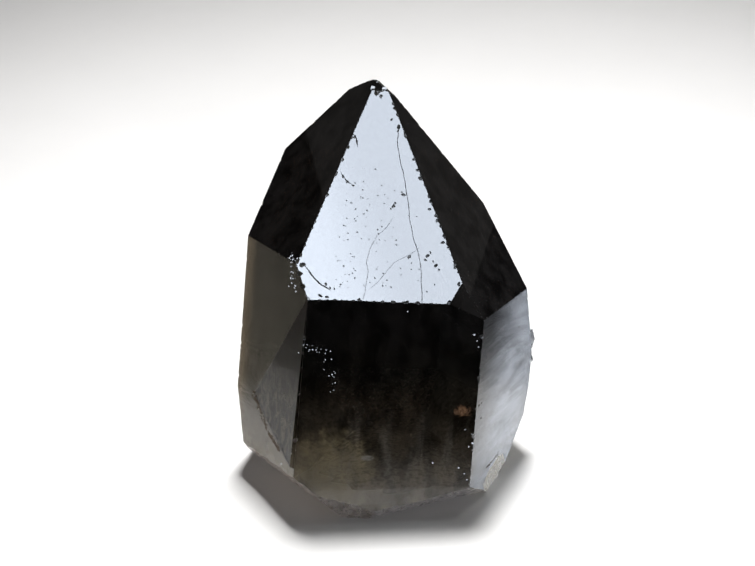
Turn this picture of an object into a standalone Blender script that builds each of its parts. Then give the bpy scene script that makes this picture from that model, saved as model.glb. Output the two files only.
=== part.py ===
"""Raw morion quartz: one smoky, nearly black quartz point, standing on its broken base.

The crystal is a single piece. A six-sided prism carries a pyramid of six leaning faces at
quartz's own angles. The tip and the edges are chipped, the lower right corner is broken away,
and the foot is a shell-like fracture round the flat patch that the crystal stands on.
It leans back a little on that foot, so its long axis is not quite +Z.

The front of the crystal looks along -Y, its right side is +X, and it stands on Z = 0.
All sizes below are millimetres and degrees; the model itself is in metres.
"""

import math
import random

import bmesh
import bpy
from mathutils import Matrix, Vector, noise

MM = 0.001
NODE_NAME = "crystal"
COLLECTION_NAME = "raw_morion_quartz"
CUTTERS_NAME = "raw_morion_quartz_cutters"

# Habit of the crystal, in its own frame: the long axis is +Z, and the front pyramid face
# meets the front prism face at Z = 0. Each face is the distance of its plane from the
# origin, the direction it looks in (0 is the front, 90 the right) and how far it looks up.
SPIN = 4.5
PRISM_FACES = {
    "front": (13.0, 0.5, 0.0),
    "front_right": (11.8, 61.0, 0.0),
    "back_right": (9.8, 120.0, 0.0),
    "back": (13.0, 180.0, 0.0),
    "back_left": (11.8, 239.5, 0.0),
    "front_left": (15.4, 300.0, 0.5),
}
PYRAMID_SLOPE = 38.2
PYRAMID_FACES = {
    "front": (10.3, 0.0, PYRAMID_SLOPE - 0.7),
    "front_right": (8.35, 60.0, PYRAMID_SLOPE + 1.0),
    "back_right": (7.95, 120.0, PYRAMID_SLOPE - 0.7),
    "back": (11.3, 180.0, PYRAMID_SLOPE),
    "back_left": (15.15, 240.0, PYRAMID_SLOPE),
    "front_left": (13.6, 299.6, PYRAMID_SLOPE),
}
# A sloping growth face between prism and pyramid at the right, and the lower lobe of the
# front pyramid face, which looks a little lower than the rest of that face.
SHOULDER_FACE = (7.1, 118.0, 17.0)
LOBE_FACE = (10.77, 358.2, 35.6)

# A small face that cuts the corner between the front, front right and prism faces, through
# three points on it.
CORNER_FACE = ((3.95, -12.65, 0.1), (4.75, -11.65, 1.3), (7.0, -12.4, -1.2))

# A later growth of quartz, a thin wedge that stands proud of the front left prism face. It
# rises from the face along a line between two points, and ends at a low wall whose foot
# runs through three points.
PLATE_EDGE = ((-9.7, -13.2, -0.9), (-13.9, -7.2, -12.6))
PLATE_TILT = 2.2
PLATE_WALL_FOOT = ((-13.9, -7.2, -12.6), (-12.1, -9.9, -15.4), (-9.6, -13.6, -17.1))
PLATE_ROOT = 2.0
PLATE_INSET = 0.04

# Flats knocked off the tip, as a direction, a look upwards and a point on the break.
TIP_BREAKS = [
    (0.0, 62.0, (-4.0, -0.6, 16.5)),
    (270.0, 60.3, (-6.56, 1.42, 16.18)),
    (90.0, 56.5, (-2.6, -0.2, 15.97)),
]

# How the crystal stands: it is turned a little on its long axis, which leans back and a
# little to the right.
STANDING_TURN = -1.5
LEAN_BACK = 11.95
LEAN_RIGHT = 4.15
FLOOR_BELOW_ORIGIN = 18.95
ROUGH_BLOCK = 90.0
PLANE_TOLERANCE = 1e-5

# Fractures round the foot, in the standing frame: direction and look of the break, a point
# on it, the span of its cutter, the number of cells along the span, how far its middle is
# hollowed, and the height and pitch of the ribs that ring the point where it was struck.
# That point is given as a share of the span.
FRACTURES = {
    "left_foot": (262.0, -10.0, (-16.2, -8.5, 5.0), 30.0, 34, 0.1, 0.05, 2.1),
    "left_underside": (309.0, -38.0, (-11.0, -14.7, 2.5), 34.0, 42, 0.3, 0.07, 2.2),
    "nose_left": (356.5, -12.0, (-6.4, -17.25, 1.9), 24.0, 36, 0.1, 0.05, 1.3),
    "nose_right": (9.5, -18.0, (0.9, -16.85, 1.75), 24.0, 36, 0.1, 0.05, 1.2),
    "front_underside": (21.6, -44.0, (2.9, -15.8, 1.2), 26.0, 34, 0.35, 0.06, 1.7),
    "right_foot": (120.0, -50.0, (10.6, -6.3, 2.7), 36.0, 44, 0.35, 0.06, 1.8),
    "right_side": (115.0, -19.0, (11.6, -3.9, 5.9), 44.0, 48, 0.25, 0.06, 2.0),
    "back_underside": (185.0, -60.0, (-3.0, 8.6, 2.3), 30.0, 34, 0.6, 0.09, 2.4),
    "back_left_underside": (243.0, -57.0, (-13.2, 0.0, 2.9), 30.0, 34, 0.5, 0.08, 2.3),
    "foot_hollow": (0.0, -90.0, (-1.5, -3.5, -0.35), 18.0, 26, 1.1, 0.08, 2.2),
}
STRIKE_POINT = (0.42, 0.30)
FRACTURE_DEPTH = 14.0
FRACTURE_ROUGHNESS = 0.10
FRACTURE_GRAIN = 2.6

# A shell-shaped flake lost from the lower right corner: its place, and its half widths
# along, into and up the front right face. Then the flakes that still stand on the
# right-hand edge, with half widths along the crystal's own axes.
CORNER_FLAKE = ((10.4, -6.9, -19.6), (3.9, 0.85, 2.7))
EDGE_SCALES = [
    ((12.15, -0.95, -7.3), (0.62, 0.62, 1.15)),
    ((12.3, -0.80, -9.3), (0.48, 0.50, 0.55)),
]

# Chips that catch the eye, in the crystal's own frame: place and radius.
CHIPS = [
    ((-4.25, -0.75, 17.0), 0.42),
    ((-5.3, -0.7, 16.75), 0.30),
    ((-3.0, -0.55, 16.4), 0.26),
    ((-10.65, -11.85, 2.8), 0.52),
    ((-10.35, -12.5, 1.75), 0.50),
    ((-9.95, -13.05, 0.75), 0.50),
    ((-9.7, -10.4, 4.95), 0.42),
    ((-7.4, -13.75, 0.15), 0.34),
    ((7.35, -12.7, -3.1), 0.48),
    ((7.45, -12.6, -4.5), 0.30),
    ((7.5, -12.65, -13.1), 0.50),
    ((7.4, -12.6, -14.6), 0.28),
    ((-9.7, -14.2, -6.5), 0.34),
    ((-9.8, -14.2, -12.4), 0.42),
    ((-15.7, -5.0, -9.0), 0.40),
    ((-15.8, -5.1, -14.2), 0.55),
]
CHIP_FLATTENING = 0.62
LUMP_CORNERS = (0.86, 1.08)

# Small random chips along every sharp edge.
EDGE_CHIP_COUNT = 46
EDGE_CHIP_RADIUS = (0.22, 0.5)
EDGE_CHIP_BITE = 0.5
EDGE_CHIP_GAP = 0.9
SHARP_ANGLE = 28.0
FOOT_LOOK = -0.9
SEED = 7


def direction(azimuth, elevation):
    """Unit vector that looks towards an azimuth (0 front, 90 right) and an elevation."""
    a, e = math.radians(azimuth), math.radians(elevation)
    return Vector((math.sin(a) * math.cos(e), -math.cos(a) * math.cos(e), math.sin(e)))


def standing_matrix():
    """From the crystal's own frame to the frame it stands in, with the floor at Z = 0."""
    lean = Matrix.Rotation(math.radians(-LEAN_BACK), 4, "X")
    lean = lean @ Matrix.Rotation(math.radians(LEAN_RIGHT), 4, "Y")
    lean = lean @ Matrix.Rotation(math.radians(STANDING_TURN), 4, "Z")
    return Matrix.Translation((0.0, 0.0, FLOOR_BELOW_ORIGIN * MM)) @ lean


def cleave(bm, normal, point):
    """Splits a convex block along a plane and keeps the side behind the normal."""
    cut = bmesh.ops.bisect_plane(
        bm,
        geom=bm.verts[:] + bm.edges[:] + bm.faces[:],
        dist=PLANE_TOLERANCE * MM,
        plane_co=point * MM,
        plane_no=normal,
        clear_outer=True,
    )
    rim = [item for item in cut["geom_cut"] if isinstance(item, bmesh.types.BMEdge)]
    if rim:
        bmesh.ops.contextual_create(bm, geom=rim)


def cleave_face(bm, face, grow=0.0):
    """Cleaves one crystal face; grow moves its plane outwards."""
    distance, azimuth, elevation = face
    normal = direction(SPIN + azimuth, elevation)
    cleave(bm, normal, normal * (distance + grow))


def cleave_floor(bm):
    """Cuts the block off flat at the floor."""
    to_own_frame = standing_matrix().inverted()
    normal = (to_own_frame.to_3x3() @ Vector((0.0, 0.0, -1.0))).normalized()
    cleave(bm, normal, to_own_frame.translation / MM)


def new_block():
    bm = bmesh.new()
    bmesh.ops.create_cube(bm, size=ROUGH_BLOCK * MM)
    return bm


def add_object(name, bm, collection, matrix=None):
    """Makes an object of a bmesh, with its faces pointing out."""
    if matrix is not None:
        bmesh.ops.transform(bm, matrix=matrix, verts=bm.verts)
    bmesh.ops.recalc_face_normals(bm, faces=bm.faces)
    mesh = bpy.data.meshes.new(name)
    bm.to_mesh(mesh)
    bm.free()
    obj = bpy.data.objects.new(name, mesh)
    collection.objects.link(obj)
    return obj


def plane_through(a, b, c):
    """Normal of the plane through three points given in millimetres."""
    return (Vector(b) - Vector(a)).cross(Vector(c) - Vector(a)).normalized()


def crystal_blank(collection):
    """The crystal with all its flat faces, before anything is broken off its edges."""
    bm = new_block()
    for face in PRISM_FACES.values():
        cleave_face(bm, face)
    for face in PYRAMID_FACES.values():
        cleave_face(bm, face)
    cleave_face(bm, SHOULDER_FACE)
    cleave_face(bm, LOBE_FACE)
    corner = plane_through(*CORNER_FACE)
    cleave(bm, corner if corner.y < 0.0 else -corner, Vector(CORNER_FACE[0]))
    for azimuth, elevation, point in TIP_BREAKS:
        cleave(bm, direction(SPIN + azimuth, elevation), Vector(point))
    cleave_floor(bm)
    return add_object(NODE_NAME, bm, collection, standing_matrix())


def growth_plate(cutters):
    """The thin wedge of later growth on the front left face, rooted inside the crystal."""
    bm = new_block()
    for name, face in PRISM_FACES.items():
        if name != "front_left":
            cleave_face(bm, face, -PLATE_INSET)
    for face in PYRAMID_FACES.values():
        cleave_face(bm, face, -PLATE_INSET)
    distance, azimuth, elevation = PRISM_FACES["front_left"]
    outward = direction(SPIN + azimuth, elevation)
    top, bottom = (Vector(point) for point in PLATE_EDGE)
    hinge = Matrix.Rotation(math.radians(PLATE_TILT), 3, (bottom - top).normalized())
    cleave(bm, hinge @ outward, outward * distance + top - outward * top.dot(outward))
    for start, end in zip(PLATE_WALL_FOOT, PLATE_WALL_FOOT[1:]):
        wall = (Vector(end) - Vector(start)).cross(outward).normalized()
        cleave(bm, wall if wall.z < 0.0 else -wall, Vector(start))
    cleave(bm, -outward, outward * (distance - PLATE_ROOT))
    return add_object("growth_plate", bm, cutters, standing_matrix())


def lump(bm, centre, half_widths, rng, detail=1):
    """Adds one angular lump, an icosphere with uneven corners and its own turn."""
    turn = Matrix.Rotation(rng.uniform(0.0, math.tau), 4, "Z")
    turn = turn @ Matrix.Rotation(rng.uniform(0.0, math.pi), 4, "X")
    made = bmesh.ops.create_icosphere(bm, subdivisions=detail, radius=1.0)
    for vert in made["verts"]:
        vert.co = turn @ (vert.co * rng.uniform(*LUMP_CORNERS))
        vert.co = Vector(centre) * MM + vert.co * Vector(half_widths) * MM
    return made["verts"]


def edge_scales(cutters, rng):
    """Two small flakes that still stand on the right-hand edge."""
    bm = bmesh.new()
    for centre, half_widths in EDGE_SCALES:
        lump(bm, centre, half_widths, rng)
    return add_object("edge_scales", bm, cutters, standing_matrix())


def fracture_relief(x, y, span, hollow, rib_height, rib_pitch, shift):
    """Height of a broken surface: a shallow bowl, rings about the strike, and roughness."""
    radius = math.hypot(x, y) / (0.5 * span)
    bowl = -hollow * (1.0 - min(radius, 1.0) ** 2)
    from_strike = math.hypot(x - STRIKE_POINT[0] * span, y - STRIKE_POINT[1] * span)
    ribs = rib_height * math.sin(math.tau * from_strike / rib_pitch)
    rough = FRACTURE_ROUGHNESS * noise.noise(Vector((x, y, shift)) / FRACTURE_GRAIN)
    return bowl + ribs + rough


def fracture_cutter(name, cutters, shift):
    """A slab whose lower face is a ribbed, hollowed break."""
    azimuth, elevation, point, span, cells, hollow, rib_height, rib_pitch = FRACTURES[name]
    bm = bmesh.new()
    bmesh.ops.create_grid(bm, x_segments=cells, y_segments=cells, size=0.5 * span)
    for vert in bm.verts:
        x, y = vert.co.x, vert.co.y
        vert.co.z = fracture_relief(x, y, span, hollow, rib_height, rib_pitch, shift)
    solid = bmesh.ops.extrude_face_region(bm, geom=bm.faces[:], use_keep_orig=True)
    raised = [item for item in solid["geom"] if isinstance(item, bmesh.types.BMVert)]
    for vert in raised:
        vert.co.z = FRACTURE_DEPTH
    turn = direction(azimuth, elevation).to_track_quat("Z", "Y").to_matrix().to_4x4()
    place = Matrix.Translation(Vector(point) * MM) @ turn @ Matrix.Scale(MM, 4)
    return add_object(name, bm, cutters, place)


def corner_flake(cutters, rng):
    """The shell-shaped flake lost from the lower right corner."""
    bm = bmesh.new()
    centre, half_widths = CORNER_FLAKE
    lump(bm, (0.0, 0.0, 0.0), half_widths, rng, detail=3)
    turn = Matrix.Rotation(math.radians(SPIN + PRISM_FACES["front_right"][1]), 4, "Z")
    place = standing_matrix() @ Matrix.Translation(Vector(centre) * MM) @ turn
    return add_object("corner_flake", bm, cutters, place)


def sharp_edges(obj):
    """Middle line of each sharp edge above the foot, with its outward direction."""
    bm = bmesh.new()
    bm.from_mesh(obj.data)
    found = []
    for edge in bm.edges:
        if len(edge.link_faces) != 2:
            continue
        if edge.calc_face_angle() < math.radians(SHARP_ANGLE):
            continue
        normals = [face.normal for face in edge.link_faces]
        if min(normal.z for normal in normals) < FOOT_LOOK:
            continue
        outward = (normals[0] + normals[1]).normalized()
        found.append((edge.verts[0].co.copy(), edge.verts[1].co.copy(), outward))
    bm.free()
    found.sort(key=lambda item: (round(item[0].z, 6), round(item[0].x, 6), item[1].x))
    return found


def edge_chips(obj, cutters, rng):
    """Bites out of the sharp edges: the named chips, then small ones scattered by chance."""
    own_to_standing = standing_matrix()
    placed = []
    bm = bmesh.new()
    for place, radius in CHIPS:
        centre = own_to_standing @ (Vector(place) * MM) / MM
        lump(bm, centre, (radius, radius, radius * CHIP_FLATTENING), rng, detail=2)
        placed.append((centre, radius))
    edges = sharp_edges(obj)
    lengths = [(b - a).length for a, b, outward in edges]
    while len(placed) < len(CHIPS) + EDGE_CHIP_COUNT:
        a, b, outward = rng.choices(edges, weights=lengths)[0]
        radius = rng.uniform(*EDGE_CHIP_RADIUS)
        centre = a.lerp(b, rng.random()) / MM + outward * radius * EDGE_CHIP_BITE
        if any((centre - other).length < radius + r + EDGE_CHIP_GAP for other, r in placed):
            continue
        lump(bm, centre, (radius, radius * CHIP_FLATTENING, radius), rng, detail=1)
        placed.append((centre, radius))
    return add_object("edge_chips", bm, cutters)


def add_boolean(obj, cutter, operation):
    """Adds one exact Boolean and marks its cutter as a guide."""
    modifier = obj.modifiers.new(cutter.name, "BOOLEAN")
    modifier.operation = operation
    modifier.solver = "EXACT"
    modifier.object = cutter
    cutter.hide_render = True
    cutter.display_type = "WIRE"


def smoky_quartz():
    """Clear, smoky brown-black quartz with a glassy face."""
    material = bpy.data.materials.new("smoky_quartz")
    material.use_nodes = True
    shader = material.node_tree.nodes["Principled BSDF"]
    shader.inputs["Base Color"].default_value = (0.035, 0.030, 0.026, 1.0)
    shader.inputs["Roughness"].default_value = 0.06
    shader.inputs["Metallic"].default_value = 0.0
    shader.inputs["IOR"].default_value = 1.544
    return material


def new_collection(name):
    collection = bpy.data.collections.new(name)
    bpy.context.scene.collection.children.link(collection)
    return collection


def centre_on_origin(obj, guides):
    """Moves everything so that the middle of the crystal's footprint box is the origin."""
    bpy.context.view_layer.update()
    shape = obj.evaluated_get(bpy.context.evaluated_depsgraph_get()).to_mesh()
    xs = [vert.co.x for vert in shape.vertices]
    ys = [vert.co.y for vert in shape.vertices]
    shift = Vector((-(min(xs) + max(xs)) / 2, -(min(ys) + max(ys)) / 2, 0.0))
    for item in [obj] + guides:
        item.location = shift


def main():
    for obj in list(bpy.data.objects):
        bpy.data.objects.remove(obj, do_unlink=True)
    rng = random.Random(SEED)
    parts = new_collection(COLLECTION_NAME)
    cutters = new_collection(CUTTERS_NAME)
    crystal = crystal_blank(parts)
    joined = [growth_plate(cutters), edge_scales(cutters, rng)]
    broken = [
        fracture_cutter(name, cutters, 10.0 * index)
        for index, name in enumerate(FRACTURES)
    ]
    broken.append(corner_flake(cutters, rng))
    broken.append(edge_chips(crystal, cutters, rng))
    for guide in joined:
        add_boolean(crystal, guide, "UNION")
    for guide in broken:
        add_boolean(crystal, guide, "DIFFERENCE")
    crystal.data.materials.append(smoky_quartz())
    centre_on_origin(crystal, joined + broken)


main()
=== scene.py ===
# %% [markdown]
# # Raw morion quartz
# This notebook dresses one smoky, nearly black quartz point. The solid model comes in as a
# fixed frame, and every visible piece is built around it, in metres, with +Z up and the
# front of the crystal towards -Y.

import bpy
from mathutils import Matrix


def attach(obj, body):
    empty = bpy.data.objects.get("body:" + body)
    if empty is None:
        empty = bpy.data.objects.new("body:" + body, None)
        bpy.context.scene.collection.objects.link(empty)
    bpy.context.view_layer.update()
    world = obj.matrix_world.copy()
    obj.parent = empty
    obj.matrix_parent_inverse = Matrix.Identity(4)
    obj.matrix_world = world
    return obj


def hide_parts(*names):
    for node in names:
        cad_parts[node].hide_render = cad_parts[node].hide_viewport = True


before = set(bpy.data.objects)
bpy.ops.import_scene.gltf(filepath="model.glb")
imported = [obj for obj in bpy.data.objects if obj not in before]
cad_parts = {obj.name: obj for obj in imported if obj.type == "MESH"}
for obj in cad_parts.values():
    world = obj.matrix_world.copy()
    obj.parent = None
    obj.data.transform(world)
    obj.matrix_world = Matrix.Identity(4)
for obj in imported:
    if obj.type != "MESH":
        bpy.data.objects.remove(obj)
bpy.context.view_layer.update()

# %% Modules and units
import math
import random
from types import SimpleNamespace

import bmesh
import bpy
from mathutils import Matrix, Vector
from mathutils.bvhtree import BVHTree

MM = 0.001
SEED = 11
scene = bpy.context.scene

# %% [markdown]
# ## The crystal's own axes
# Quartz grows as a six-sided prism with a pyramid on top, and all its faces keep their
# angles. It is easiest to speak of a place on it in the crystal's own frame, where the long
# axis is +Z, and to turn that frame as the crystal stands: leaning back and a little to the
# right. Each face is its distance from the origin, the direction it looks in and how far
# it looks up.

# %% The crystal's own axes
SPIN = 4.5
FACES = {
    "front": (13.0, 0.5, 0.0),
    "front_right": (11.8, 61.0, 0.0),
    "back_right": (9.8, 120.0, 0.0),
    "back": (13.0, 180.0, 0.0),
    "back_left": (11.8, 239.5, 0.0),
    "front_left": (15.4, 300.0, 0.5),
    "tip_front": (10.3, 0.0, 37.5),
    "tip_front_right": (8.35, 60.0, 39.2),
    "tip_back_right": (7.95, 120.0, 37.5),
    "tip_back": (11.3, 180.0, 38.2),
    "tip_back_left": (15.15, 240.0, 38.2),
    "tip_front_left": (13.6, 299.6, 38.2),
}
LEAN = (-11.95, 4.15, -1.5)
FOOT_TO_ORIGIN = (2.197, 2.06, 18.95)


def direction(azimuth, elevation):
    """Unit vector that looks towards an azimuth (0 front, 90 right) and an elevation."""
    a, e = math.radians(azimuth), math.radians(elevation)
    return Vector((math.sin(a) * math.cos(e), -math.cos(a) * math.cos(e), math.sin(e)))


lean = Matrix.Rotation(math.radians(LEAN[0]), 4, "X")
lean = lean @ Matrix.Rotation(math.radians(LEAN[1]), 4, "Y")
lean = lean @ Matrix.Rotation(math.radians(LEAN[2]), 4, "Z")
own_to_row = Matrix.Translation(Vector(FOOT_TO_ORIGIN) * MM) @ lean


def face_axes(name):
    """Origin, right, up and outward direction of a crystal face, in its own frame."""
    distance, azimuth, elevation = FACES[name]
    outward = direction(SPIN + azimuth, elevation)
    right = direction(SPIN + azimuth + 90.0, 0.0)
    up = outward.cross(right)
    origin = direction(SPIN + azimuth, 0.0) * distance / math.cos(math.radians(elevation))
    return origin, right, up, outward


def on_face(name, x, y, proud=0.0):
    """A place on a face, given in millimetres to the right and up the face, in the row."""
    origin, right, up, outward = face_axes(name)
    return own_to_row @ ((origin + right * x + up * y + outward * proud) * MM)


print("front tip face, middle:", [round(c / MM, 1) for c in on_face("tip_front", -2.0, 8.0)])

# %% [markdown]
# ## Camera and picture
# A long lens from about 35 cm keeps the edges nearly parallel, as in a close-up of a
# specimen, and it looks down at the crystal by a third of a right angle. The plain
# "Standard" view keeps black quartz black and lets a pale floor run up to white.

# %% Camera and picture
CAMERA_PLACE = (-0.87, -296.21, 202.10)
CAMERA_DOWN = 31.987
CAMERA_LENS = 173.6
scene.view_settings.view_transform = "Standard"
scene.view_settings.look = "None"
camera = bpy.data.objects.new("camera", bpy.data.cameras.new("camera"))
camera.data.lens = CAMERA_LENS
camera.data.sensor_width = 36.0
camera.location = Vector(CAMERA_PLACE) * MM
camera.rotation_euler = (math.radians(90.0 - CAMERA_DOWN), 0.0, 0.0)
camera.data.clip_start = 0.01
scene.collection.objects.link(camera)
scene.camera = camera
print("camera at", [round(c, 3) for c in camera.location])

# %% [markdown]
# ## The crystal's skin, and what has worn it
# The solid's own mesh is right in every plane, but a real crystal that has lain in gravel
# has edges nicked all along, pits in its faces and hairline cracks. These are cut out of a
# copy with one exact Boolean each. Cutting keeps the faces between the nicks perfectly flat,
# which a sculpted or remeshed surface would not, and flat faces are what makes a crystal
# look like a crystal.

# %% A copy of the solid with its flat faces in one piece
FLAT_TOLERANCE = 0.05


def joined_flats(node):
    """A bmesh copy of a CAD node whose coplanar triangles are joined into flat faces."""
    bm = bmesh.new()
    bm.from_mesh(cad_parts[node].data)
    bmesh.ops.remove_doubles(bm, verts=bm.verts, dist=0.0005 * MM)
    bmesh.ops.dissolve_limit(
        bm,
        angle_limit=math.radians(FLAT_TOLERANCE),
        verts=bm.verts,
        edges=bm.edges,
    )
    return bm


def add_mesh(name, bm, smooth=False):
    """Turns a bmesh into an object in the scene."""
    mesh = bpy.data.meshes.new(name)
    bm.to_mesh(mesh)
    bm.free()
    for layer in [a.name for a in mesh.attributes if a.name == "custom_normal"]:
        mesh.attributes.remove(mesh.attributes[layer])
    mesh.polygons.foreach_set("use_smooth", [smooth] * len(mesh.polygons))
    obj = bpy.data.objects.new(name, mesh)
    scene.collection.objects.link(obj)
    return obj


crystal = add_mesh("crystal_skin", joined_flats("crystal"))
print("skin before wear:", len(crystal.data.polygons), "faces")

# %% [markdown]
# The faces that the crystal grew are found before anything is cut, as the planes that cover
# the most area. Everything off those planes is a break, a nick or a pit.

# %% Large planes
GROWN_AREA = 1.2
PLANE_STEP = 0.03
ON_PLANE = 0.004
LOWEST_LOOK = -0.5


def large_planes(mesh):
    """The flat faces that the crystal grew, as normals and distances in millimetres."""
    area, largest = {}, {}
    for poly in mesh.polygons:
        n = poly.normal
        offset = n.dot(poly.center) / MM
        key = (round(n.x, 2), round(n.y, 2), round(n.z, 2), round(offset / PLANE_STEP))
        size = poly.area / MM**2
        area[key] = area.get(key, 0.0) + size
        if key not in largest or size > largest[key][0]:
            largest[key] = (size, n.copy(), offset)
    found = []
    for key in sorted(area, key=area.get, reverse=True):
        size, n, offset = largest[key]
        known = any(n.dot(m) > 0.99999 and abs(offset - d) < 0.02 for m, d in found)
        if area[key] > GROWN_AREA and n.z > LOWEST_LOOK and not known:
            found.append((n, offset))
    return found


planes = large_planes(crystal.data)
print("large planes:", len(planes))

# %% [markdown]
# ## Nicks along the edges
# Each nick is an angular lump, an icosphere with its corners pushed about, laid along an
# edge. The edges of the bright front face take most of them, because they stand out there.
# The edges are measured on the mesh itself, so that no nick can miss the stone.

# %% Sharp edges of the crystal
SHARP_ANGLE = 22.0
SHORTEST_EDGE = 0.7


def sharp_edges(obj):
    """Every long sharp edge: its ends, outward direction and the faces' normals."""
    bm = bmesh.new()
    bm.from_mesh(obj.data)
    found = []
    for edge in bm.edges:
        if len(edge.link_faces) != 2 or edge.calc_length() < SHORTEST_EDGE * MM:
            continue
        if edge.calc_face_angle() < math.radians(SHARP_ANGLE):
            continue
        normals = [face.normal.copy() for face in edge.link_faces]
        outward = (normals[0] + normals[1]).normalized()
        found.append((edge.verts[0].co.copy(), edge.verts[1].co.copy(), outward, normals))
    bm.free()
    found.sort(key=lambda item: (round(item[0].z, 7), round(item[0].x, 7), item[1].x))
    return found


edges = sharp_edges(crystal)
total = sum((b - a).length for a, b, outward, normals in edges)
front_normal = (lean.to_3x3() @ face_axes("tip_front")[3]).normalized()
print("sharp edges:", len(edges), "total", round(total / MM), "mm")

# %% [markdown]
# The nicks are scattered at random along those edges, and a long edge takes more of them than
# a short one. None may touch another, because the Boolean wants a cutter whose parts don't
# cross. A fixed seed gives the same wear in every run.

# %% Nicks
BRIGHT_NICKS = 300
BRIGHT_NICK_SIZES = (0.08, 0.26)
OTHER_NICKS = 130
OTHER_NICK_SIZES = (0.07, 0.22)
NICK_GAP = 0.03
FINE_LUMP = 0.16
TRIES_PER_NICK = 12
SAME_FACE = 0.998
UNDERSIDE = -0.95


def lump(bm, centre, half_widths, turn, rng, detail):
    """Adds one angular lump: an uneven icosphere, stretched and then turned."""
    made = bmesh.ops.create_icosphere(bm, subdivisions=detail, radius=1.0)
    for vert in made["verts"]:
        co = vert.co * rng.uniform(0.80, 1.12)
        co = Vector((co.x * half_widths[0], co.y * half_widths[1], co.z * half_widths[2]))
        vert.co = centre + turn @ (co * MM)


def scatter_nicks(bm, chosen, count, sizes, placed, rng):
    """Scatters nicks along some edges, none of them touching another."""
    lengths = [(b - a).length for a, b, outward, normals in chosen]
    tries = 0
    made = 0
    while made < count and tries < count * TRIES_PER_NICK:
        tries += 1
        a, b, outward, normals = rng.choices(chosen, weights=lengths)[0]
        radius = rng.uniform(*sizes) * rng.uniform(0.6, 1.0)
        stretch = rng.uniform(1.0, 2.4)
        centre = a.lerp(b, rng.random()) + outward * radius * MM * rng.uniform(0.25, 0.75)
        reach = radius * stretch
        if any((centre - c).length < (reach + r + NICK_GAP) * MM for c, r in placed):
            continue
        along_edge = (b - a).normalized()
        turn = Matrix((along_edge, outward.cross(along_edge), outward)).transposed()
        turn = turn @ Matrix.Rotation(rng.uniform(-0.5, 0.5), 3, "Z")
        detail = 2 if radius > FINE_LUMP else 1
        lump(bm, centre, (radius * stretch, radius, radius), turn, rng, detail)
        placed.append((centre, reach))
        made += 1
    return made


rng = random.Random(SEED)
placed = []
bm = bmesh.new()
bright = [e for e in edges if max(n.dot(front_normal) for n in e[3]) > SAME_FACE]
other = [e for e in edges if max(n.dot(front_normal) for n in e[3]) <= SAME_FACE]
other = [e for e in other if min(n.z for n in e[3]) > UNDERSIDE]
made = scatter_nicks(bm, bright, BRIGHT_NICKS, BRIGHT_NICK_SIZES, placed, rng)
made += scatter_nicks(bm, other, OTHER_NICKS, OTHER_NICK_SIZES, placed, rng)
nicks = add_mesh("cutter_nicks", bm)
print("nicks:", made)

# %% [markdown]
# ## Pits, chips and cracks of the front tip face
# This face is a mirror, so a real specimen shows every fault in it as a dark mark. The larger
# ones sit at their own places, each given by how far right and up the face it is and its
# size, and fine pits are strewn between them. A crack is a line of places and a width.

# %% Places of the pits, chips and cracks
PITS = [
    (-1.6, 10.5, 0.22), (-1.75, 10.75, 0.10), (-2.5, 9.3, 0.20), (-2.35, 9.65, 0.13),
    (-2.75, 9.05, 0.12), (0.8, 4.6, 0.22), (1.05, 4.95, 0.14), (0.62, 4.2, 0.15),
    (1.6, 3.7, 0.20), (1.9, 3.3, 0.13), (1.35, 4.1, 0.12), (-0.9, 4.4, 0.20),
    (-8.6, 1.35, 0.17), (-8.2, 1.0, 0.13), (-7.8, 0.95, 0.11), (-7.3, 1.2, 0.08),
    (-2.2, 17.2, 0.24), (-2.25, 16.8, 0.14), (-7.3, 12.0, 0.16), (-6.9, 11.5, 0.15),
    (-6.35, 11.15, 0.14), (-6.3, 16.0, 0.16), (-6.1, 15.5, 0.12), (-7.0, 3.2, 0.12),
]
EDGE_CHIPS = [
    (-0.68, 14.1, 0.20), (-0.28, 13.0, 0.22), (0.06, 12.2, 0.30), (1.62, 8.1, 0.20),
    (3.42, 3.7, 0.26), (-7.55, 13.75, 0.34), (-8.05, 12.7, 0.32), (-10.45, 6.2, 0.24),
    (-10.85, 3.1, 0.32), (-11.15, 4.3, 0.28), (-9.1, 0.2, 0.22), (-1.0, 0.0, 0.22),
    (-4.30, 20.65, 0.42), (-3.95, 20.2, 0.22), (-8.6, 11.0, 0.22), (-9.4, 9.0, 0.2),
    (2.2, 6.0, 0.2), (-6.6, 15.9, 0.22), (-5.5, 0.0, 0.18), (0.9, 9.2, 0.18),
    (-11.0, 2.2, 0.26), (-2.9, 17.9, 0.14), (3.8, 2.0, 0.22), (2.9, 0.1, 0.30),
]
CRACKS = {
    "long": (0.056, [(-2.2, 17.2), (-2.3, 15.8), (-2.0, 14.0), (-1.6, 12.3), (-1.2, 10.2),
                     (-0.9, 7.8), (-0.6, 6.4), (-0.1, 5.0), (0.2, 3.5), (0.4, -0.2)]),
    "left": (0.036, [(-2.5, 8.2), (-3.1, 7.2), (-4.0, 6.3), (-4.6, 5.0), (-4.9, 3.7),
                     (-4.7, 2.8), (-5.1, -0.2)]),
    "low": (0.032, [(0.1, 5.4), (-0.9, 4.6), (-2.3, 3.8), (-3.0, 2.9), (-3.7, 1.9),
                    (-4.5, 1.1)]),
    "step": (0.120, [(-10.7, 3.1), (-9.6, 1.8), (-8.9, 1.2), (-8.1, 0.8)]),
    "hook": (0.115, [(-6.5, 16.3), (-6.2, 15.9), (-6.1, 15.5), (-6.0, 15.0)]),
    "curve": (0.090, [(-7.6, 12.5), (-7.3, 12.0), (-6.9, 11.5), (-6.3, 11.2)]),
}
print("pits:", len(PITS), "chips:", len(EDGE_CHIPS), "cracks:", len(CRACKS))

# %% [markdown]
# A hairline crack is cut by a thin wedge that follows its line. Extra places between the given
# ones sway a little to either side, and every second one is narrower, so that the crack
# wanders and breathes as a real one does. It could be painted, but a cut edge catches light.

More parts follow.
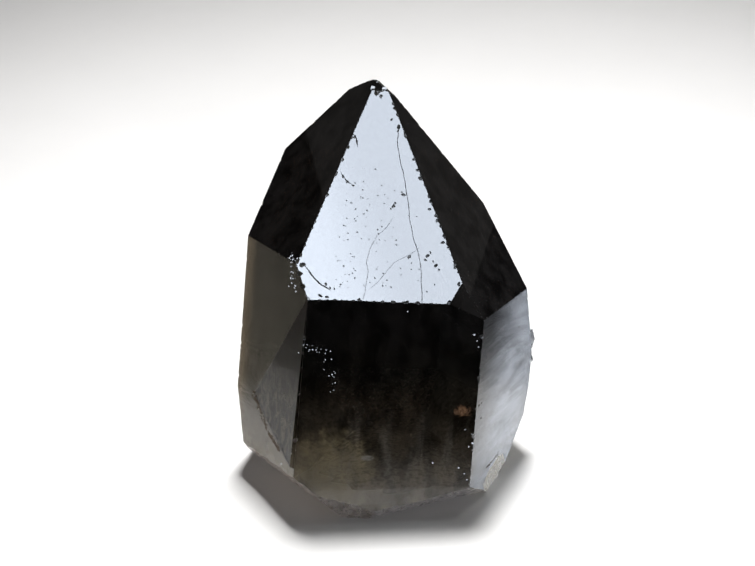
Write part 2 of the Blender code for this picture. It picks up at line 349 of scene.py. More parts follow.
# %% Wedges that cut the cracks
CRACK_STEP = 0.55
CRACK_SWAY = 0.04
WEDGE_ABOVE = 0.06
WEDGE_BELOW = 0.10
NARROWER = 0.75
TAPERED_END = 0.3


def groove(bm, face, width, points):
    """A thin V-shaped cutter that follows a crack over a face."""
    rings = []
    for i, (x, y) in enumerate(points):
        before, after = points[max(i - 1, 0)], points[min(i + 1, len(points) - 1)]
        tangent = Vector((after[0] - before[0], after[1] - before[1])).normalized()
        half = width * (NARROWER if i % 2 else 1.0)
        if i in (0, len(points) - 1):
            half *= TAPERED_END
        left = (x - tangent.y * half, y + tangent.x * half)
        right = (x + tangent.y * half, y - tangent.x * half)
        ring = [
            bm.verts.new(on_face(face, *left, WEDGE_ABOVE)),
            bm.verts.new(on_face(face, *right, WEDGE_ABOVE)),
            bm.verts.new(on_face(face, x, y, -WEDGE_BELOW)),
        ]
        rings.append(ring)
    for one, two in zip(rings, rings[1:]):
        for k in range(3):
            bm.faces.new((one[k], one[(k + 1) % 3], two[(k + 1) % 3], two[k]))
    bm.faces.new(rings[0])
    bm.faces.new(rings[-1])


def wandering(points, step, sway, rng):
    """Puts extra points between the given ones, swayed a little to either side."""
    out = [points[0]]
    for (x0, y0), (x1, y1) in zip(points, points[1:]):
        count = max(1, round(math.hypot(x1 - x0, y1 - y0) / step))
        for k in range(1, count + 1):
            t = k / count
            wander = sway if k < count else 0.0
            out.append((x0 + (x1 - x0) * t + rng.uniform(-wander, wander),
                        y0 + (y1 - y0) * t + rng.uniform(-wander, wander)))
    return out


crack_cutters = []
for name, (width, points) in CRACKS.items():
    bm = bmesh.new()
    groove(bm, "tip_front", width, wandering(points, CRACK_STEP, CRACK_SWAY, rng))
    bmesh.ops.recalc_face_normals(bm, faces=bm.faces)
    crack_cutters.append(add_mesh("cutter_crack_" + name, bm))
print("crack cutters:", len(crack_cutters))

# %% [markdown]
# A pit or chip is the same angular lump as a nick, flattened and turned at random in the face.
# Some lie so close that their lumps would cross, so they are dealt out into batches in which
# none touches another, and each batch becomes one cutter.

# %% Lumps that cut the pits and chips
SMALL_PITS = 90
SMALL_PIT_SIZES = (0.045, 0.10)
PIT_SHAPE = (1.2, 0.8, 0.6)
PIT_PROUD = 0.25
PIT_REACH = 1.35


def free_batch(batches, centre, reach):
    """The first batch of lumps in which none touches the new one, or else a new batch."""
    for bm, placed in batches:
        if all((centre - c).length > (reach + r + NICK_GAP) * MM for c, r in placed):
            placed.append((centre, reach))
            return bm
    batches.append((bmesh.new(), [(centre, reach)]))
    return batches[-1][0]


turn = Matrix([lean.to_3x3() @ axis for axis in face_axes("tip_front")[1:]]).transposed()
small_pits = []
for k in range(SMALL_PITS):
    y = rng.triangular(0.6, 14.0, 1.5)
    x = rng.triangular(-9.8 + 0.35 * y, 2.6 - 0.3 * y, -7.5)
    small_pits.append((x, y, rng.uniform(*SMALL_PIT_SIZES)))
batches = []
for x, y, radius in PITS + EDGE_CHIPS + small_pits:
    spin = turn @ Matrix.Rotation(rng.uniform(0, 3.1), 3, "Z")
    centre = on_face("tip_front", x, y, radius * PIT_PROUD)
    bm = free_batch(batches, centre, radius * PIT_REACH)
    lump(bm, centre, [radius * share for share in PIT_SHAPE], spin, rng, 2)
pit_cutters = [add_mesh("cutter_pits_%d" % k, bm) for k, (bm, placed) in enumerate(batches)]
print("pit cutters:", len(pit_cutters))

# %% [markdown]
# The cutters are taken out one after another with the exact Boolean. Between two cuts the
# mesh is split into plain triangles, because a large face with hundreds of notches in its
# rim can come out of the next cut with gaps. Clear stone needs a closed skin, so the cell
# prints how many edges don't join exactly two faces, which should be none.

# %% Cut them out


def cut(obj, cutter):
    """Takes a cutter out of an object with the exact Boolean, leaving plain triangles."""
    modifier = obj.modifiers.new(cutter.name, "BOOLEAN")
    modifier.operation = "DIFFERENCE"
    modifier.solver = "EXACT"
    modifier.object = cutter
    shape = obj.evaluated_get(bpy.context.evaluated_depsgraph_get())
    mesh = bpy.data.meshes.new_from_object(shape)
    obj.modifiers.clear()
    bm = bmesh.new()
    bm.from_mesh(mesh)
    bmesh.ops.triangulate(bm, faces=bm.faces)
    bm.to_mesh(mesh)
    unpaired = sum(len(edge.link_faces) != 2 for edge in bm.edges)
    bm.free()
    obj.data = mesh
    bpy.data.objects.remove(cutter, do_unlink=True)
    return unpaired


for cutter in [nicks] + pit_cutters + crack_cutters:
    unpaired = cut(crystal, cutter)
print("skin after wear:", len(crystal.data.polygons), "faces, unpaired edges:", unpaired)

# %% [markdown]
# ## Grown faces and broken faces
# A face that grew is flat and glassy, a broken one is curved, ribbed and duller. The two
# need different shading and different polish, but one closed skin of clear stone must keep
# one material, so each face carries a number that says which it is. A face counts as grown
# when all its corners lie in one of the planes that cover the most area. A second number
# says how frosted it is: the tip faces are glassy, the faces beside the front one are not.

# %% Which faces are grown, which are broken and which are frosted
BROKEN_CREASE = 38.0
FROSTED = {
    "front_left": 0.60, "front_right": 1.0, "back_right": 0.35, "back": 0.2, "back_left": 0.25,
}
BROKEN_FROST = 0.5
LOOKS_ALONG = 0.97


def mark_faces(obj, planes):
    """Stores on every face whether it is broken (1) or grown (0), and how frosted it is."""
    mesh = obj.data
    outwards = {
        name: (lean.to_3x3() @ face_axes(name)[3]).normalized() for name in FROSTED
    }
    broken, frost = [], []
    for poly in mesh.polygons:
        corners = [mesh.vertices[i].co / MM for i in poly.vertices]
        grown = any(
            all(abs(n.dot(c) - offset) < ON_PLANE for c in corners) for n, offset in planes
        )
        broken.append(0.0 if grown else 1.0)
        amount = 0.0 if grown else BROKEN_FROST
        for name, outward in outwards.items():
            if poly.normal.dot(outward) > LOOKS_ALONG:
                amount = max(amount, FROSTED[name])
        frost.append(amount)
    for name, values in (("broken", broken), ("frost", frost)):
        mesh.attributes.new(name, "FLOAT", "FACE").data.foreach_set("value", values)
    mesh.set_sharp_from_angle(angle=math.radians(BROKEN_CREASE))
    mesh.polygons.foreach_set("use_smooth", [v > 0.5 for v in broken])
    return broken.count(0.0), broken.count(1.0)


print("grown faces, broken faces:", mark_faces(crystal, planes))

# %% [markdown]
# ## Shader helpers
# Every finish below is a short chain of nodes. These helpers add one node each and give back
# its output, so that a chain reads like a sum.

# %% Helpers for values


def add_node(tree, kind, inputs=None, **options):
    """Adds a shader node; an input is a number, a colour or another node's socket."""
    made = tree.nodes.new(kind)
    for key, value in options.items():
        setattr(made, key, value)
    for key, value in (inputs or {}).items():
        if isinstance(value, bpy.types.NodeSocket):
            tree.links.new(value, made.inputs[key])
        else:
            made.inputs[key].default_value = value
    return made


def math_node(tree, operation, one, two=0.0, three=0.0, clamp=False):
    """One sum with up to three values; MULTIPLY_ADD is the first times the second, plus it."""
    return add_node(
        tree, "ShaderNodeMath", {0: one, 1: two, 2: three}, operation=operation, use_clamp=clamp
    ).outputs[0]


def product(tree, *values):
    """All the values multiplied together."""
    made = values[0]
    for value in values[1:]:
        made = math_node(tree, "MULTIPLY", made, value)
    return made


def ranged(tree, value, low, high, to_low=0.0, to_high=1.0):
    """Maps a value smoothly from one range to another."""
    made = add_node(
        tree,
        "ShaderNodeMapRange",
        {0: value, 1: low, 2: high, 3: to_low, 4: to_high},
        interpolation_type="SMOOTHSTEP",
    )
    return made.outputs[0]


def blended(tree, factor, one, two):
    """A value between two, by a factor."""
    made = add_node(tree, "ShaderNodeMix", {0: factor, 2: one, 3: two}, data_type="FLOAT")
    return made.outputs[0]


# %% [markdown]
# Places are taken in the crystal's own frame and in millimetres, so that a value such as
# "12 mm below the shoulder" can be written as it is, and a pattern follows the crystal's
# leaning faces.

# %% Helpers for places and noises


def own_place(tree):
    """The place on the crystal in its own frame, in millimetres."""
    place = add_node(tree, "ShaderNodeTexCoord").outputs["Object"]
    made = add_node(tree, "ShaderNodeMapping", {0: place}, vector_type="TEXTURE")
    made.inputs["Location"].default_value = Vector(FOOT_TO_ORIGIN) * MM
    made.inputs["Rotation"].default_value = lean.to_euler()
    made.inputs["Scale"].default_value = (MM, MM, MM)
    return made.outputs[0]


def across(tree, place, face):
    """How far to the right on a face a place is, in millimetres."""
    right = tuple(face_axes(face)[1])
    made = add_node(tree, "ShaderNodeVectorMath", {0: place, 1: right}, operation="DOT_PRODUCT")
    return made.outputs["Value"]


def stretched(tree, place, scale, turn=(0.0, 0.0, 0.0)):
    """The place turned and scaled, to make a noise long in one direction."""
    made = add_node(tree, "ShaderNodeMapping", {0: place}, vector_type="POINT")
    made.inputs["Rotation"].default_value = turn
    made.inputs["Scale"].default_value = scale
    return made.outputs[0]


def noise_value(tree, place, scale, detail=3.0, roughness=0.55, distortion=0.0):
    """A cloudy value around a half, with so many clouds to the millimetre."""
    made = add_node(
        tree,
        "ShaderNodeTexNoise",
        {"Vector": place, "Scale": scale, "Detail": detail, "Roughness": roughness,
         "Distortion": distortion},
    )
    return made.outputs["Fac"]


# %% [markdown]
# Colours are mixed by a mask, from the ground up. The blotchy mask that breaks up a plain
# colour is used by the stone, the glints, the dark grains and the floor, so it is a node group,
# built once and placed in each material with its own fineness.

# %% Helpers for colours, and the mottle group


def mixed(tree, factor, one, two):
    """A colour between two, by a factor."""
    made = add_node(tree, "ShaderNodeMix", data_type="RGBA", blend_type="MIX")
    for index, value in ((0, factor), (6, one), (7, two)):
        if isinstance(value, bpy.types.NodeSocket):
            tree.links.new(value, made.inputs[index])
        else:
            made.inputs[index].default_value = value
    return made.outputs[2]


def ramp(tree, value, stops):
    """A colour ramp from (position, colour) stops."""
    made = add_node(tree, "ShaderNodeValToRGB", {0: value})
    elements = made.color_ramp.elements
    while len(elements) < len(stops):
        elements.new(0.5)
    for element, (position, colour) in zip(elements, stops):
        element.position = position
        element.color = (*colour, 1.0)
    return made.outputs[0]


def mottle_group():
    """A node group that gives a blotchy value between 0 and 1, at a chosen fineness."""
    group = bpy.data.node_groups.new("mottle", "ShaderNodeTree")
    for name, way, kind in (
        ("Place", "INPUT", "NodeSocketVector"),
        ("Fineness", "INPUT", "NodeSocketFloat"),
        ("Value", "OUTPUT", "NodeSocketFloat"),
    ):
        group.interface.new_socket(name, in_out=way, socket_type=kind)
    given = add_node(group, "NodeGroupInput").outputs
    blotches = noise_value(group, given["Place"], given["Fineness"], 5.0, 0.65)
    add_node(group, "NodeGroupOutput", {"Value": ranged(group, blotches, 0.3, 0.7)})
    return group


def mottled(tree, fineness):
    """The mottle group's value at a place on the crystal, by fineness per millimetre."""
    made = add_node(
        tree,
        "ShaderNodeGroup",
        {"Place": own_place(tree), "Fineness": fineness},
        node_tree=bpy.data.node_groups["mottle"],
    )
    return made.outputs["Value"]


print("node group:", mottle_group().name)

# %% [markdown]
# ## Smoky quartz
# Morion is clear quartz coloured by natural radiation: almost black where it is thick and
# strongly coloured, tea-brown and cloudy towards the foot. The stone is see-through with
# quartz's own bending of light, an even absorption inside, and a colour at the skin that
# goes from nearly black at the tip to a hazy brown-grey at the foot. That brown at the foot is
# partly the stone's own colour and partly painted light, the glow of light shining through it.
# Wisps, specks and a rusty spot are only colour, so they are painted and not raised.
#
# The colour is laid in thin layers, as a painter glazes: each function below takes the colour
# so far and puts one effect over it. All of them share a few places, masks and noises, which
# are gathered first.

# %% Places, masks and noises on the skin
PLATE_SIDE = (-0.626, -5.95)
PLATE_FOOT = (0.585, 13.73)


def attribute(tree, name):
    """A number that the skin's faces carry."""
    return add_node(tree, "ShaderNodeAttribute", attribute_name=name).outputs["Fac"]


def skin_values(tree):
    """The places, masks and noises that the layers of the skin share."""
    place = own_place(tree)
    parts = add_node(tree, "ShaderNodeSeparateXYZ", {0: place}).outputs
    frost = attribute(tree, "frost")
    blotchy = stretched(tree, place, (1.0, 1.0, 0.55))
    streaky = stretched(tree, place, (0.85, 0.85, 0.16))
    slanting = stretched(tree, place, (0.35, 0.35, 1.3), (0.0, math.radians(32.0), 0.0))
    wobble = noise_value(tree, place, 0.7, 5.0, 0.65)
    return SimpleNamespace(
        tree=tree,
        place=place,
        height=parts["Z"],
        front_x=across(tree, place, "front"),
        left_x=across(tree, place, "front_left"),
        right_x=across(tree, place, "front_right"),
        broken=attribute(tree, "broken"),
        frost=frost,
        clear=math_node(tree, "SUBTRACT", 1.0, frost, clamp=True),
        side=ranged(tree, parts["X"], -3.0, 3.0),
        far_right=ranged(tree, parts["X"], 6.5, 9.0),
        blotch=noise_value(tree, blotchy, 0.55, 5.0, 0.62, 0.4),
        streaks=noise_value(tree, streaky, 1.0, 6.0, 0.66, 0.7),
        slants=noise_value(tree, slanting, 0.8, 5.0, 0.6, 0.3),
        wobble=ranged(tree, wobble, 0.25, 0.75, -0.9, 0.9),
    )


def add_plate_values(skin):
    """Adds where the growth plate on the left lies, by the two lines that bound it."""
    tree = skin.tree
    beside = math_node(tree, "MULTIPLY_ADD", skin.height, PLATE_SIDE[0], skin.left_x)
    beside = math_node(tree, "ADD", beside, PLATE_SIDE[1])
    above = math_node(tree, "MULTIPLY_ADD", skin.left_x, PLATE_FOOT[0], skin.height)
    skin.beside = ranged(tree, beside, -0.1, 0.5)
    skin.above = math_node(tree, "ADD", above, PLATE_FOOT[1])
    skin.on_left = product(tree, skin.frost, ranged(tree, skin.side, 0.2, 0.0), 1.6)
    skin.plate = product(tree, skin.beside, ranged(tree, skin.above, -0.1, 0.2), skin.on_left)
    flaky = stretched(tree, skin.place, (1.5, 1.5, 0.8), (0.0, math.radians(-24.0), 0.0))
    skin.flakes = noise_value(tree, flaky, 1.0, 6.0, 0.7, 0.8)
    low = ranged(tree, skin.height, -7.0, -14.0)
    skin.flake_mask = product(tree, ranged(tree, skin.flakes, 0.42, 0.64), low)


# %% [markdown]
# The ground is a ramp up the crystal, from a hazy brown-grey at the foot to near black, made
# uneven by clouds. Its brown at the foot is partly painted light, the glow of light shining
# through the stone. A soft yellowish haze lies low on the left of the front face, and upright
# wisps stand for the veils inside the stone.

# %% Brown zones with painted glow, haze and wisps
ZONE_LOW, ZONE_HIGH = -22.0, -2.0
# The pale stops near the foot are partly painted light: the glow of light shining through the
# stone.
ZONES = [
    (0.00, (0.420, 0.368, 0.288)),
    (0.20, (0.210, 0.174, 0.128)),
    (0.36, (0.070, 0.056, 0.040)),
    (0.55, (0.036, 0.029, 0.021)),
    (0.75, (0.015, 0.014, 0.012)),
    (1.00, (0.016, 0.015, 0.015)),
]
ZONE_CLOUDS = 6.0
HAZE_PATCH = (-7.2, -17.0, 3.6, 3.1)
HAZE_COLOUR = (0.46, 0.38, 0.23, 1.0)
WISP_COLOUR = (0.50, 0.46, 0.40, 1.0)
WISP_STRENGTH = 0.42


def spot(skin, patch, wobble):
    """A soft patch on the front face: right, up, width and height in millimetres."""
    tree = skin.tree
    x, z, width, tall = patch
    dx = product(tree, math_node(tree, "SUBTRACT", skin.front_x, x), 1.0 / width)
    dz = product(tree, math_node(tree, "SUBTRACT", skin.height, z), 1.0 / tall)
    away = math_node(tree, "MULTIPLY_ADD", dz, dz, product(tree, dx, dx))
    return ranged(tree, math_node(tree, "ADD", away, wobble), 2.0, 0.1)


def brown_zones_and_glow(skin):
    """The ground colour, from the foot to the tip; its pale brown at the foot is partly painted
    glow of light through the stone.
    """
    tree = skin.tree
    cloud = noise_value(tree, skin.place, 0.22, 4.0, 0.55)
    uneven = math_node(tree, "MULTIPLY_ADD", cloud, ZONE_CLOUDS, skin.height)
    zone = ranged(tree, uneven, ZONE_LOW + ZONE_CLOUDS / 2, ZONE_HIGH + ZONE_CLOUDS / 2)
    zone.node.interpolation_type = "LINEAR"
    tone = ranged(tree, skin.blotch, 0.34, 0.66, 0.45, 1.6)
    toned = {0: ramp(tree, zone, ZONES), "Scale": tone}
    return add_node(tree, "ShaderNodeVectorMath", toned, operation="SCALE").outputs[0]


def hazed(skin, colour):
    """Haze low on the left of the front face, and upright wisps near the foot."""
    tree = skin.tree
    patchy = ranged(tree, skin.blotch, 0.3, 0.6, 0.25, 0.75)
    haze = product(tree, spot(skin, HAZE_PATCH, skin.wobble), skin.clear, patchy)
    colour = mixed(tree, haze, colour, HAZE_COLOUR)
    low = ranged(tree, skin.height, -9.0, -17.5)
    streaks = ranged(tree, skin.streaks, 0.50, 0.72)
    wisps = product(tree, streaks, low, skin.clear, WISP_STRENGTH)
    return mixed(tree, wisps, colour, WISP_COLOUR)


print("colour zones:", len(ZONES), "over", ZONE_HIGH - ZONE_LOW, "mm")

# %% [markdown]
# The prism faces beside the front one are finely frosted, which scatters light. The right one
# is bluish grey, stronger towards its outer and lower side, with slanting streaks; that pale
# bluish grey is partly frost and partly painted reflection of the bright floor it mirrors. The
# left one is brownish grey, with a lighter, warmer band along its outer edge, which is a
# painted highlight.

# %% Frost on the side faces, with painted reflection and highlight
LEFT_FROST = (0.335, 0.325, 0.285, 1.0)
# Painted highlight: the lighter, warmer band along the left face's outer edge.
LEFT_EDGE_HIGHLIGHT = (0.950, 0.800, 0.600, 1.0)
# Partly painted reflection: the right face's pale bluish grey also stands for the floor it
# mirrors.
RIGHT_FROST_AND_SHEEN = (0.76, 0.80, 0.88, 1.0)
FROST_STRENGTH = 0.9


def frosted(skin, colour):
    """Frost on the left and right prism faces; the right one's bluish grey is partly painted
    reflection, the left one's outer band a painted highlight.
    """
    tree = skin.tree
    rise = product(tree, skin.height, -0.55)
    slant = math_node(tree, "MULTIPLY_ADD", skin.right_x, 1.7, rise)
    # The right face pales towards its outer, lower side: partly frost, partly painted
    # reflection.
    right_amount = ranged(tree, slant, -10.0, 5.5, 0.08, 1.05)
    left_amount = ranged(tree, skin.height, 0.0, -19.0, 0.80, 1.0)
    uneven_right = ranged(tree, skin.slants, 0.30, 0.70, 0.55, 1.25)
    uneven_left = ranged(tree, skin.streaks, 0.30, 0.70, 0.75, 1.15)
    amount = product(
        tree,
        blended(tree, skin.side, left_amount, right_amount),
        blended(tree, skin.side, uneven_left, uneven_right),
        skin.frost,
    )
    amount = math_node(tree, "MULTIPLY", amount, FROST_STRENGTH, clamp=True)
    # Painted highlight along the left face's outer edge.
    edge_highlight = product(tree, ranged(tree, skin.left_x, -2.5, -5.0), 0.8)
    left_colour = mixed(tree, edge_highlight, LEFT_FROST, LEFT_EDGE_HIGHLIGHT)
    return mixed(tree, amount, colour, mixed(tree, skin.side, left_colour, RIGHT_FROST_AND_SHEEN))


print("frost strength:", FROST_STRENGTH)

# %% [markdown]
# The growth plate is a thin wedge of later growth that lies on the left face. It is darker,
# with scaly flakes, and a dark line runs along the foot of its wall.

# %% The growth plate
PLATE_COLOUR = (0.042, 0.039, 0.036, 1.0)
PLATE_FLAKES = (0.300, 0.255, 0.200, 1.0)
WALL_COLOUR = (0.012, 0.010, 0.008, 1.0)
WALL_ABOVE_FOOT = 0.75
PLATE_STRENGTH = 0.9


def plated(skin, colour):
    """The dark, flaky growth plate and the dark line under its wall."""
    tree = skin.tree
    plate_colour = mixed(tree, skin.flake_mask, PLATE_COLOUR, PLATE_FLAKES)
    amount = math_node(tree, "MULTIPLY", skin.plate, PLATE_STRENGTH, clamp=True)
    colour = mixed(tree, amount, colour, plate_colour)
    off_line = math_node(tree, "SUBTRACT", skin.above, WALL_ABOVE_FOOT)
    off_line = math_node(tree, "MULTIPLY_ADD", skin.flakes, 1.2, off_line)
    on_line = ranged(tree, math_node(tree, "ABSOLUTE", off_line), 0.42, 0.12)
    wall = product(tree, on_line, skin.beside, skin.on_left, PLATE_STRENGTH)
    return mixed(tree, wall, colour, WALL_COLOUR)


print("growth plate strength:", PLATE_STRENGTH)

# %% [markdown]
# Low down, where the crystal broke off its rock, the fresh break is pale and pinkish, and the
# chip at its lower right is nearly white with a tan stain. A rusty grain, one pale patch and
# scattered specks lie inside the stone just behind the front face.

# %% Broken places, the rusty grain and specks
BREAK_COLOUR = (0.80, 0.74, 0.73, 1.0)
BREAK_SHADE = (0.50, 0.45, 0.43, 1.0)
CHIP_COLOUR = (0.96, 0.94, 0.90, 1.0)
CHIP_STAIN = (0.92, 0.84, 0.72, 1.0)
BREAK_STRENGTH = 0.95
RUST_PATCH = (4.9, -10.55, 0.62, 0.52)
RUST_COLOUR = (0.42, 0.24, 0.14, 1.0)
PALE_PATCH = (-3.7, -15.8, 0.45, 0.25)
SPECK_COLOUR = (0.60, 0.58, 0.54, 1.0)
SPECKS_PER_MM = 2.6


def with_breaks(skin, colour):
    """The pale break at the foot and the whiter chip at the lower right."""
    tree = skin.tree
    break_colour = mixed(tree, mottled(tree, 1.4), BREAK_COLOUR, BREAK_SHADE)
    chip_colour = mixed(tree, mottled(tree, 0.8), CHIP_COLOUR, CHIP_STAIN)
    break_colour = mixed(tree, skin.far_right, break_colour, chip_colour)
    low = ranged(tree, skin.height, -8.0, -15.0)
    amount = product(tree, skin.broken, low, BREAK_STRENGTH)
    return mixed(tree, amount, colour, break_colour)


def with_marks(skin, colour):
    """The rusty grain, the pale patch and the specks behind the front face."""
    tree = skin.tree
    ragged = ranged(tree, noise_value(tree, skin.place, 2.3, 4.0, 0.6), 0.3, 0.7, -1.1, 1.3)
    rust = product(tree, spot(skin, RUST_PATCH, ragged), skin.clear)
    colour = mixed(tree, rust, colour, RUST_COLOUR)
    pale = product(tree, spot(skin, PALE_PATCH, skin.wobble), skin.clear, 0.7)
    colour = mixed(tree, pale, colour, SPECK_COLOUR)
    grid = {"Vector": skin.place, "Scale": SPECKS_PER_MM, "Randomness": 1.0}
    cells = add_node(tree, "ShaderNodeTexVoronoi", grid).outputs
    dots = ranged(tree, cells["Distance"], 0.12, 0.05)
    lottery = add_node(tree, "ShaderNodeSeparateColor", {0: cells["Color"]}).outputs[0]
    chosen = ranged(tree, lottery, 0.72, 0.76)
    low = ranged(tree, skin.height, -5.0, -12.0)
    specks = product(tree, dots, chosen, low, skin.clear, 0.6)
    return mixed(tree, specks, colour, SPECK_COLOUR)


print("rusty grain at", RUST_PATCH[:2], "mm on the front face")

# %% [markdown]
# Polish and relief are the last two. Grown faces are nearly mirrors with faint smudges, the
# frosted ones and the plate are a little rougher, and the break is dull. The relief is far
# below a tenth of a millimetre: ribs across the prism faces, the plate's flakes and the
# grain of the break.

# %% Polish and fine relief
RELIEF_HEIGHT = 0.10
RELIEF_STRENGTH = 0.8


def polish(skin):
    """How rough the skin is."""
    tree = skin.tree
    smudge = noise_value(tree, skin.place, 0.8, 4.0, 0.6)
    glassy = ranged(tree, smudge, 0.35, 0.75, 0.03, 0.08)
    glassy = math_node(tree, "MULTIPLY_ADD", skin.frost, 0.14, glassy)
    glassy = math_node(tree, "MULTIPLY_ADD", skin.plate, 0.22, glassy)
    grain = noise_value(tree, skin.place, 2.2, 5.0, 0.65)
    dull = ranged(tree, grain, 0.3, 0.7, 0.16, 0.42)
    return blended(tree, skin.broken, glassy, dull)


def fine_relief(skin):
    """The bent normal of ribs, flakes and grain."""
    tree = skin.tree
    ribs = noise_value(tree, stretched(tree, skin.place, (0.4, 0.4, 3.0)), 1.0, 4.0, 0.6)
    ribs = math_node(tree, "MULTIPLY_ADD", skin.slants, 1.6, ribs)
    ribs = product(tree, ribs, skin.frost, 0.35)
    grain = product(tree, noise_value(tree, skin.place, 2.4, 4.0, 0.6), skin.broken, 0.8)
    grain = product(tree, grain, ranged(tree, skin.far_right, 0.0, 1.0, 1.0, 0.25))
    flakes = product(tree, skin.flakes, skin.flake_mask, 5.0)
    relief = math_node(tree, "ADD", ribs, grain)
    relief = math_node(tree, "MULTIPLY_ADD", skin.plate, flakes, relief)
    bump = {"Height": relief, "Distance": RELIEF_HEIGHT * MM, "Strength": RELIEF_STRENGTH}
    return add_node(tree, "ShaderNodeBump", bump).outputs[0]


print("relief:", RELIEF_HEIGHT, "mm")

# %% [markdown]
# The material puts the layers together. The transmission is a little under full, so that a
# share of plain scattered light shows the painted colours as haze, and the absorption darkens
# whatever is seen through the stone.

# %% The stone
QUARTZ_IOR = 1.544
CLEARNESS = 0.82
SMOKE_COLOUR = (0.36, 0.27, 0.20, 1.0)
SMOKE_DENSITY = 320.0


def smoky_quartz():
    """The material of the whole stone."""
    material = bpy.data.materials.new("smoky_quartz")
    material.use_nodes = True
    tree = material.node_tree
    shader = tree.nodes["Principled BSDF"]
    skin = skin_values(tree)
    add_plate_values(skin)
    colour = brown_zones_and_glow(skin)
    for layer in (hazed, frosted, plated, with_breaks, with_marks):
        colour = layer(skin, colour)
    tree.links.new(colour, shader.inputs["Base Color"])
    tree.links.new(polish(skin), shader.inputs["Roughness"])
    tree.links.new(fine_relief(skin), shader.inputs["Normal"])
    shader.inputs["IOR"].default_value = QUARTZ_IOR
    shader.inputs["Transmission Weight"].default_value = CLEARNESS
    absorb = add_node(tree, "ShaderNodeVolumeAbsorption")
    absorb.inputs["Color"].default_value = SMOKE_COLOUR
    absorb.inputs["Density"].default_value = SMOKE_DENSITY
    tree.links.new(absorb.outputs["Volume"], tree.nodes["Material Output"].inputs["Volume"])
    return material


crystal.data.materials.clear()
crystal.data.materials.append(smoky_quartz())
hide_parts("crystal")
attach(crystal, "root")
print("shader nodes of the stone:", len(crystal.data.materials[0].node_tree.nodes))

# %% [markdown]
# ## Glints and dark grains
# Both are laid on the finished skin by looking straight down on a face from outside, through
# a search tree of the skin's triangles. That way they follow every nick and chip.

# %% Places on the finished skin
LOOK_FROM = 3.0
skin_tree = BVHTree.FromPolygons(
    [vert.co for vert in crystal.data.vertices],
    [tuple(poly.vertices) for poly in crystal.data.polygons],
)


def on_skin(face, x, y, proud):
    """The place on the cut skin under a place on a face, and the skin's direction there."""
    outward = (lean.to_3x3() @ face_axes(face)[3]).normalized()
    start = on_face(face, x, y, LOOK_FROM)
    hit, normal, index, distance = skin_tree.ray_cast(start, -outward)
    return (None, None) if hit is None else (hit + normal * proud * MM, normal)


def along(points, share):
    """A place at a share of the way along a line of points."""
    whole = share * (len(points) - 1)
    i = min(int(whole), len(points) - 2)
    (x0, y0), (x1, y1) = points[i], points[i + 1]
    return x0 + (x1 - x0) * (whole - i), y0 + (y1 - y0) * (whole - i)


# %% [markdown]
# Where the stone is freshly chipped, tiny steps lie parallel to the front tip face and flash
# with it. Each is a small flat flake turned like that face. A bump or a rougher patch would
# only blur the light, and never give the hard little sparks of a real break. A trail of them
# crosses the upper left of the front face, and others sit in the chips along the edges.

# %% Where the glints lie
GLINTS = [
    ("front", 5.4, -2.9, 0.15), ("front", 5.9, -4.1, 0.10), ("front", 5.3, -12.5, 0.10),
    ("front", 6.1, -13.8, 0.17), ("front", 5.8, -14.2, 0.12), ("front", 5.0, -16.4, 0.10),
    ("front", 5.9, -17.6, 0.11), ("front", 2.5, -16.0, 0.11), ("front", 5.6, -17.0, 0.08),
    ("front", 6.0, -12.9, 0.08), ("front", 5.7, -3.5, 0.07), ("front", -1.0, -0.9, 0.09),
    ("tip_front", -4.74, 21.02, 0.34), ("tip_front", -3.68, 20.98, 0.30),
    ("tip_front", -4.30, 21.75, 0.10), ("front", 4.7, -16.9, 0.06),
    ("front", -11.6, -17.6, 0.10), ("front", -11.3, -18.0, 0.07),
]
TRAIL = [(-10.3, -4.9), (-9.0, -5.3), (-8.4, -5.3), (-7.7, -6.8), (-7.3, -8.1), (-7.5, -9.1)]
TRAIL_GLINTS = 34
TRAIL_SPREAD = 0.35
CHIP_ZONE = [(-11.2, 4.6), (-11.7, 3.6), (-11.6, 2.4), (-11.3, 1.2)]
ZONE_GLINTS = 30
ZONE_SPREAD = (0.22, 0.30)

rng = random.Random(SEED + 1)
spots = list(GLINTS)
for k in range(TRAIL_GLINTS):
    x, y = along(TRAIL, rng.random())
    x += rng.gauss(0, TRAIL_SPREAD)
    y += rng.gauss(0, TRAIL_SPREAD)
    spots.append(("front", x, y, rng.uniform(0.035, 0.075)))
for k in range(ZONE_GLINTS):
    x, y = along(CHIP_ZONE, rng.random())
    x += rng.gauss(0, ZONE_SPREAD[0])
    y += rng.gauss(0, ZONE_SPREAD[1])
    spots.append(("tip_front", x, y, rng.uniform(0.03, 0.12)))
print("places for glints:", len(spots))

# %% Glints
GLINT_PROUD = 0.03
ALREADY_BRIGHT = 0.99
FACET_COLOURS = ((0.05, 0.045, 0.04, 1.0), (0.12, 0.11, 0.10, 1.0))


def add_flake(bm, place, outward, size, rng):
    """A small uneven flat flake that looks outward."""
    side = outward.orthogonal().normalized()
    other = outward.cross(side)
    start, corners = rng.uniform(0, 6.28), rng.choice((3, 4, 5))
    ring = []
    for k in range(corners):
        angle = start + 6.283 * k / corners
        reach = size * rng.uniform(0.6, 1.0) * MM
        corner = place + side * math.cos(angle) * reach + other * math.sin(angle) * reach
        ring.append(bm.verts.new(corner))
    bm.faces.new(ring)


